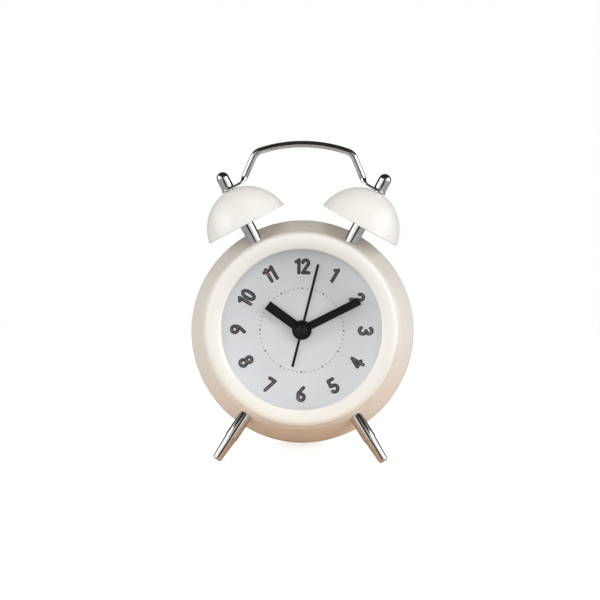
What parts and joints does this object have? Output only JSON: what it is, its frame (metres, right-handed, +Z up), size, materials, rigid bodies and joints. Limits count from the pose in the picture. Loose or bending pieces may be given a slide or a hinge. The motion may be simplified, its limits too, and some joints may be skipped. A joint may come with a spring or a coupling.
{
  "type": "twin-bell alarm clock",
  "caption": "Small round desk alarm clock: cream drum case on two turned legs, twin dome bells on posts, wire carrying handle, quartz movement with hands, setting knobs and battery.",
  "frame": {"origin": "centre of the bounding box on the table that the legs and the drum's rear edge stand on", "axes": "+Z up, -Y the way the dial faces (it looks slightly upward), +X to the viewer's right"},
  "size_m": [0.088, 0.0638, 0.1234],
  "materials": {
    "cream_paint": "satin cream paint on pressed steel",
    "bezel_paint": "satin cream paint",
    "clear_lens": "clear polished lens",
    "white_plastic": "matt white moulding",
    "dial_white": "matt printed dial",
    "back_plastic": "fine-grained cream moulding",
    "zinc_screw": "zinc-plated steel",
    "bell_paint": "satin warm-white paint",
    "chrome": "bright chrome plate",
    "black_plastic": "moulded black plastic",
    "natural_plastic": "unpainted acetal",
    "brass_leaf": "rolled brass",
    "magnet": "sintered magnet",
    "soft_iron": "pressed soft iron",
    "copper_winding": "enamelled copper wire",
    "board_green": "solder mask over glass fibre",
    "steel_can": "drawn steel can",
    "knob_plastic": "fine-grained black moulding",
    "battery_jacket": "plain printed steel jacket",
    "contact_plate": "nickel-plated spring steel",
    "hand_black": "satin black paint on aluminium"
  },
  "bodies": {
    "case": {"case_shell": "cream_paint", "bezel_ring": "bezel_paint", "lens": "clear_lens", "dial_spacer_ring": "white_plastic", "dial_plate": "dial_white", "back_cover": "back_plastic", "back_cover_screws": "zinc_screw", "bell_left": "bell_paint", "bell_right": "bell_paint", "bell_post_left": "chrome", "bell_post_right": "chrome", "bell_nut_left": "chrome", "bell_nut_right": "chrome", "handle": "chrome", "leg_left": "chrome", "leg_right": "chrome", "saddle_nuts": "zinc_screw", "movement_front_plate": "black_plastic", "movement_middle_plate": "natural_plastic", "movement_housing": "black_plastic", "movement_screws": "zinc_screw", "alarm_contact_spring": "brass_leaf", "stator": "soft_iron", "coil_core": "soft_iron", "coil_bobbin": "natural_plastic", "coil_winding": "copper_winding", "circuit_board": "board_green", "control_chip": "black_plastic", "quartz_crystal": "steel_can", "buzzer": "black_plastic", "alarm_switch_body": "black_plastic", "battery": "battery_jacket", "battery_contact_positive": "contact_plate", "battery_contact_negative": "contact_plate"},
    "seconds": {"second_wheel": "natural_plastic", "second_hand": "hand_black"},
    "reduction": {"reduction_wheel": "natural_plastic"},
    "rotor": {"rotor": "magnet"},
    "third": {"third_wheel": "natural_plastic"},
    "minutes": {"centre_wheel": "natural_plastic", "minute_hand": "hand_black"},
    "time_setting": {"motion_wheel": "natural_plastic", "time_set_knob": "knob_plastic"},
    "hours": {"hour_wheel": "natural_plastic", "hour_hand": "hand_black"},
    "alarm_time": {"alarm_wheel": "natural_plastic", "alarm_hand": "hand_black"},
    "alarm_setting": {"alarm_set_arbor": "natural_plastic", "alarm_set_knob": "knob_plastic"},
    "alarm_slider": {"alarm_switch": "knob_plastic"},
    "door": {"battery_door": "back_plastic"}
  },
  "joints": [
    {"name": "seconds_spin", "type": "hinge", "parent": "case", "child": "seconds", "pos_m": [0, -0.00464, 0.0485], "axis": [0, 0.9764, -0.2159], "continuous": true},
    {"name": "reduction_spin", "type": "hinge", "parent": "case", "child": "reduction", "pos_m": [0.009, -0.00464, 0.0485], "axis": [0, 0.9764, -0.2159], "continuous": true},
    {"name": "rotor_spin", "type": "hinge", "parent": "case", "child": "rotor", "pos_m": [0.016, -0.00464, 0.0485], "axis": [0, 0.9764, -0.2159], "continuous": true},
    {"name": "third_spin", "type": "hinge", "parent": "case", "child": "third", "pos_m": [-0.00291, -0.00292, 0.0563], "axis": [0, 0.9764, -0.2159], "continuous": true},
    {"name": "minutes_spin", "type": "hinge", "parent": "case", "child": "minutes", "pos_m": [0, -0.00464, 0.0485], "axis": [0, 0.9764, -0.2159], "continuous": true},
    {"name": "time_setting_spin", "type": "hinge", "parent": "case", "child": "time_setting", "pos_m": [0.00656, -0.00296, 0.05613], "axis": [0, 0.9764, -0.2159], "continuous": true},
    {"name": "hours_spin", "type": "hinge", "parent": "case", "child": "hours", "pos_m": [0, -0.00464, 0.0485], "axis": [0, 0.9764, -0.2159], "continuous": true},
    {"name": "alarm_setting_spin", "type": "hinge", "parent": "case", "child": "alarm_setting", "pos_m": [-0.01159, -0.00397, 0.05153], "axis": [0, 0.9764, -0.2159], "continuous": true},
    {"name": "alarm_time_spin", "type": "hinge", "parent": "case", "child": "alarm_time", "pos_m": [0, -0.00464, 0.0485], "axis": [0, 0.9764, -0.2159], "continuous": true},
    {"name": "alarm_switch_slide", "type": "slide", "parent": "case", "child": "alarm_slider", "axis": [1, 0, 0], "range_m": [0, 0.0035]},
    {"name": "battery_door_pull", "type": "slide", "parent": "case", "child": "door", "axis": [0, 0.9764, -0.2159], "range_m": [0, 0.012]}
  ],
  "couplings": [
    {"joint": "reduction_spin", "follows": "seconds_spin", "ratio": -5},
    {"joint": "rotor_spin", "follows": "seconds_spin", "ratio": 30},
    {"joint": "third_spin", "follows": "seconds_spin", "ratio": -0.13333},
    {"joint": "minutes_spin", "follows": "seconds_spin", "ratio": 0.016667},
    {"joint": "time_setting_spin", "follows": "seconds_spin", "ratio": -0.0055556},
    {"joint": "hours_spin", "follows": "seconds_spin", "ratio": 0.0013889},
    {"joint": "alarm_time_spin", "follows": "alarm_setting_spin", "ratio": -0.33333}
  ]
}
